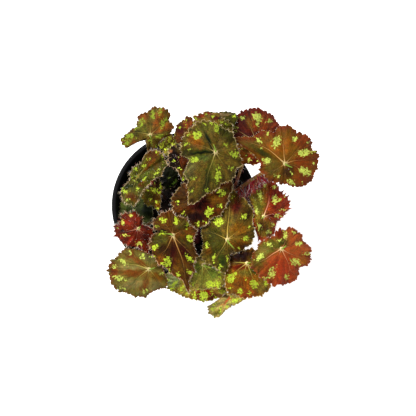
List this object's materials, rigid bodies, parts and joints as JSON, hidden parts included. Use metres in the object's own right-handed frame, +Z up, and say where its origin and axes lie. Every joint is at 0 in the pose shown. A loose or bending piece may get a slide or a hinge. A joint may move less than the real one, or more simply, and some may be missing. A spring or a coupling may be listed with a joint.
{
  "type": "potted eyelash begonia",
  "caption": "Small creeping begonia with toothed, blotched bronze leaves on hairy red stalks, growing from half buried rhizomes in a round black nursery pot.",
  "frame": {"origin": "middle of the pot's underside, on the surface that it stands on", "axes": "+Z up the pot; +X and +Y to the right and to the far side of the plant as the picture shows it from overhead"},
  "size_m": [0.1698, 0.1722, 0.1776],
  "materials": {
    "pot_plastic": "satin black moulded plastic",
    "potting_soil": "dark crumbly peat mix",
    "rhizome": "dull, scaly",
    "stalk": "fleshy, semi matt, hairy",
    "leaf_olive": "satin leaf, lime blotches",
    "leaf_bronze": "satin leaf, lime blotches",
    "leaf_red_brown": "satin leaf, lime blotches",
    "leaf_dark": "satin leaf, lime blotches",
    "leaf_green": "satin leaf"
  },
  "bodies": {
    "root": {"pot": "pot_plastic", "soil": "potting_soil", "rhizome_main": "rhizome", "rhizome_back": "rhizome", "rhizome_front": "rhizome", "stalk_crown": "stalk", "blade_crown": "leaf_olive", "stalk_upper_right": "stalk", "blade_upper_right": "leaf_bronze", "stalk_back_right": "stalk", "blade_back_right": "leaf_red_brown", "stalk_back_left": "stalk", "blade_back_left": "leaf_bronze", "stalk_left_cupped": "stalk", "blade_left_cupped": "leaf_bronze", "stalk_left_inner": "stalk", "blade_left_inner": "leaf_dark", "stalk_back_small": "stalk", "blade_back_small": "leaf_olive", "stalk_hanging": "stalk", "blade_hanging": "leaf_dark", "stalk_back_red": "stalk", "blade_back_red": "leaf_red_brown", "stalk_back_centre": "stalk", "blade_back_centre": "leaf_red_brown", "stalk_back_low": "stalk", "blade_back_low": "leaf_green", "stalk_gap_small": "stalk", "blade_gap_small": "leaf_red_brown", "stalk_centre_dark": "stalk", "blade_centre_dark": "leaf_dark", "stalk_left_long": "stalk", "blade_left_long": "leaf_bronze", "stalk_right_centre": "stalk", "blade_right_centre": "leaf_bronze", "stalk_front_left": "stalk", "blade_front_left": "leaf_olive", "stalk_left_red": "stalk", "blade_left_red": "leaf_red_brown", "stalk_right_red": "stalk", "blade_right_red": "leaf_red_brown", "stalk_front_right": "stalk", "blade_front_right": "leaf_red_brown", "stalk_front_right_low": "stalk", "blade_front_right_low": "leaf_bronze", "stalk_front_green": "stalk", "blade_front_green": "leaf_olive", "stalk_front_low": "stalk", "blade_front_low": "leaf_bronze", "stalk_front_folded": "stalk", "blade_front_folded": "leaf_olive", "stalk_low_left": "stalk", "blade_low_left": "leaf_green", "stalk_low_inner": "stalk", "blade_low_inner": "leaf_green"}
  },
  "joints": []
}
